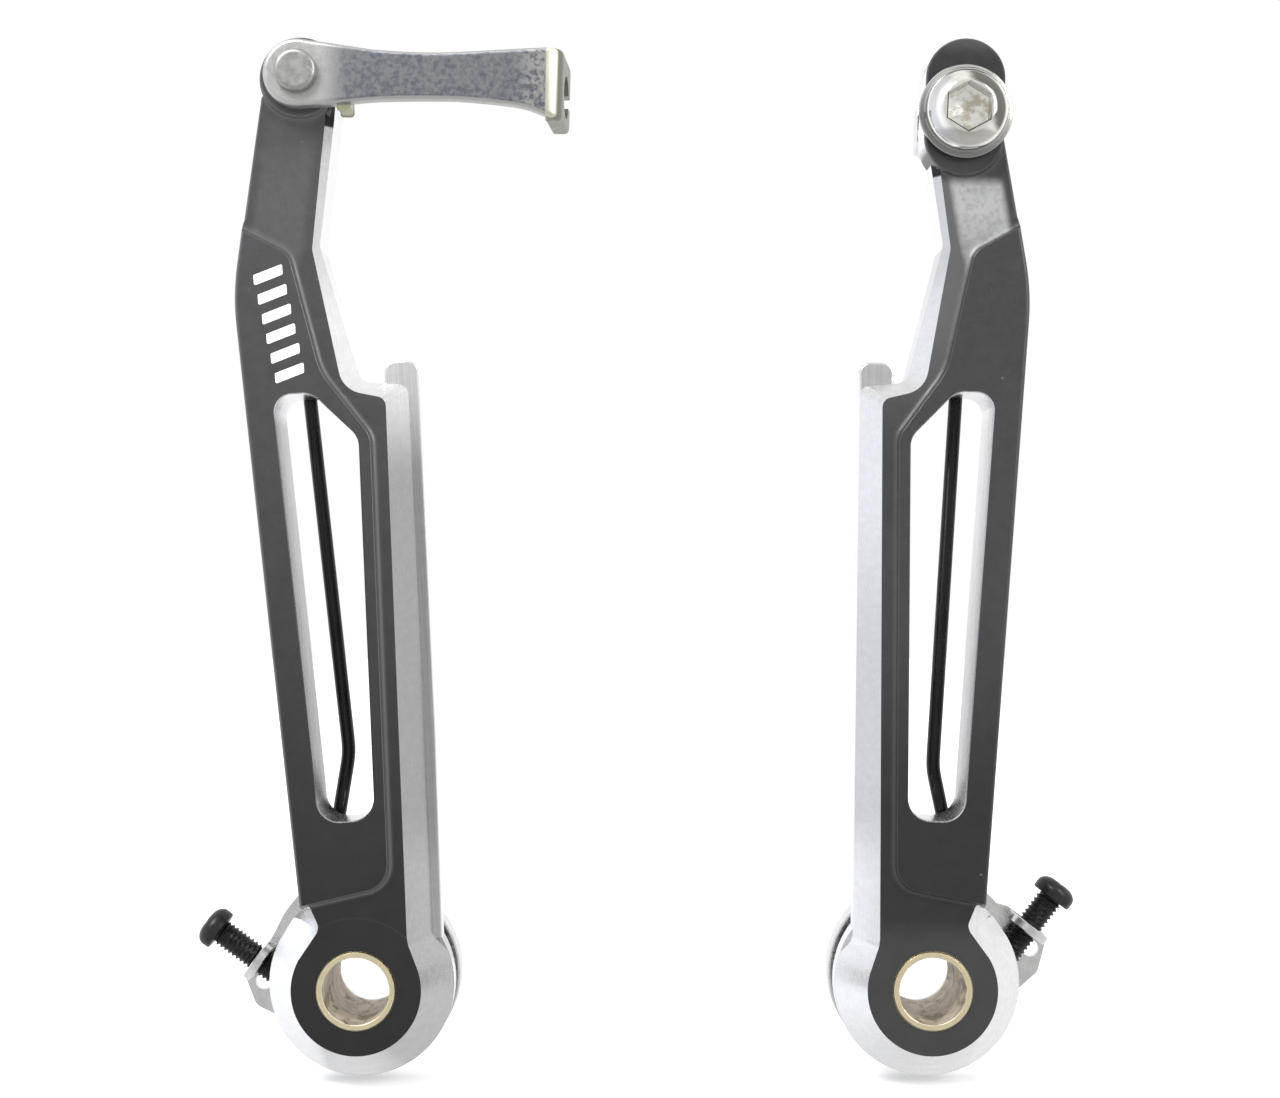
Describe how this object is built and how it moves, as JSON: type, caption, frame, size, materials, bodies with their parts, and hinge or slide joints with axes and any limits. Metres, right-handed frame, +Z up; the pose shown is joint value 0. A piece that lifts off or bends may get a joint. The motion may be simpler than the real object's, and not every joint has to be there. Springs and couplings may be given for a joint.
{
  "type": "linear-pull bicycle brake arm pair",
  "caption": "Left and right long brake arms with sprung pivots, tension screws, a riveted cable guide link on the left arm and a cable anchor bolt on the right.",
  "frame": {"origin": "the middle of the pair's box at rest", "axes": "+Z up along the arms, +X from the left arm to the right arm as seen from the front, +Y backwards towards the fork; both pivot axes run along Y"},
  "size_m": [0.1122, 0.0252, 0.127],
  "materials": {
    "anodised": "satin dark grey anodising over machined aluminium, with bare machined chamfers",
    "bronze": "turned bronze",
    "spring_steel": "black oxide wire",
    "zinc": "bright zinc plate",
    "black_steel": "black oxide steel",
    "galvanised": "mottled plated steel with fine scratches",
    "chromed": "polished plate, slightly worn",
    "nylon": "black nylon"
  },
  "bodies": {
    "spring_seats": {"left_spring_seat": "zinc", "left_seat_pin": "zinc", "right_spring_seat": "zinc", "right_seat_pin": "zinc"},
    "left_arm": {"left_brake_arm": "anodised", "left_pivot_bush": "bronze", "left_dust_washer": "nylon", "left_spring_stop_pin": "zinc", "left_return_spring": "spring_steel", "left_spring_sleeve": "nylon", "link_rivet": "zinc", "rivet_washer": "zinc"},
    "link": {"noodle_link": "galvanised", "link_spacer": "zinc"},
    "right_arm": {"right_brake_arm": "anodised", "right_pivot_bush": "bronze", "right_dust_washer": "nylon", "right_spring_stop_pin": "zinc", "right_return_spring": "spring_steel", "right_spring_sleeve": "nylon", "anchor_nut": "chromed"},
    "left_screw": {"left_tension_screw": "black_steel"},
    "right_screw": {"right_tension_screw": "black_steel"},
    "anchor_washer": {"anchor_washer": "chromed"},
    "anchor_bolt": {"anchor_bolt": "chromed"}
  },
  "joints": [
    {"name": "left_arm_pivot", "type": "hinge", "parent": "spring_seats", "child": "left_arm", "pos_m": [-0.03317, 0, -0.05107], "axis": [0, 1, 0], "range_deg": [-20, 8], "stiffness_Nm_per_rad": 0.5, "deforming": ["left_return_spring"]},
    {"name": "right_arm_pivot", "type": "hinge", "parent": "spring_seats", "child": "right_arm", "pos_m": [0.03613, 0, -0.05107], "axis": [0, -1, 0], "range_deg": [-20, 8], "stiffness_Nm_per_rad": 0.5, "deforming": ["right_return_spring"]},
    {"name": "link_pivot", "type": "hinge", "parent": "left_arm", "child": "link", "pos_m": [-0.03978, -0.0008, 0.05849], "axis": [0, -1, 0], "range_deg": [-2, 92]},
    {"name": "left_screw_travel", "type": "slide", "parent": "spring_seats", "child": "left_screw", "axis": [-0.8039, 0, 0.5948], "range_m": [-0.0008, 0.002], "deforming": ["left_return_spring"]},
    {"name": "right_screw_travel", "type": "slide", "parent": "spring_seats", "child": "right_screw", "axis": [0.6088, 0, 0.7934], "range_m": [-0.0008, 0.002], "deforming": ["right_return_spring"]},
    {"name": "anchor_washer_lift", "type": "slide", "parent": "right_arm", "child": "anchor_washer", "axis": [0, -1, 0], "range_m": [0, 0.001]},
    {"name": "anchor_bolt_turn", "type": "hinge", "parent": "anchor_washer", "child": "anchor_bolt", "pos_m": [0.0398, -0.0008, 0.05417], "axis": [0, -1, 0], "range_deg": [0, 361]}
  ],
  "couplings": [
    {"joint": "anchor_bolt_turn", "follows": "anchor_washer_lift", "rad_per_m": 6283.2}
  ]
}
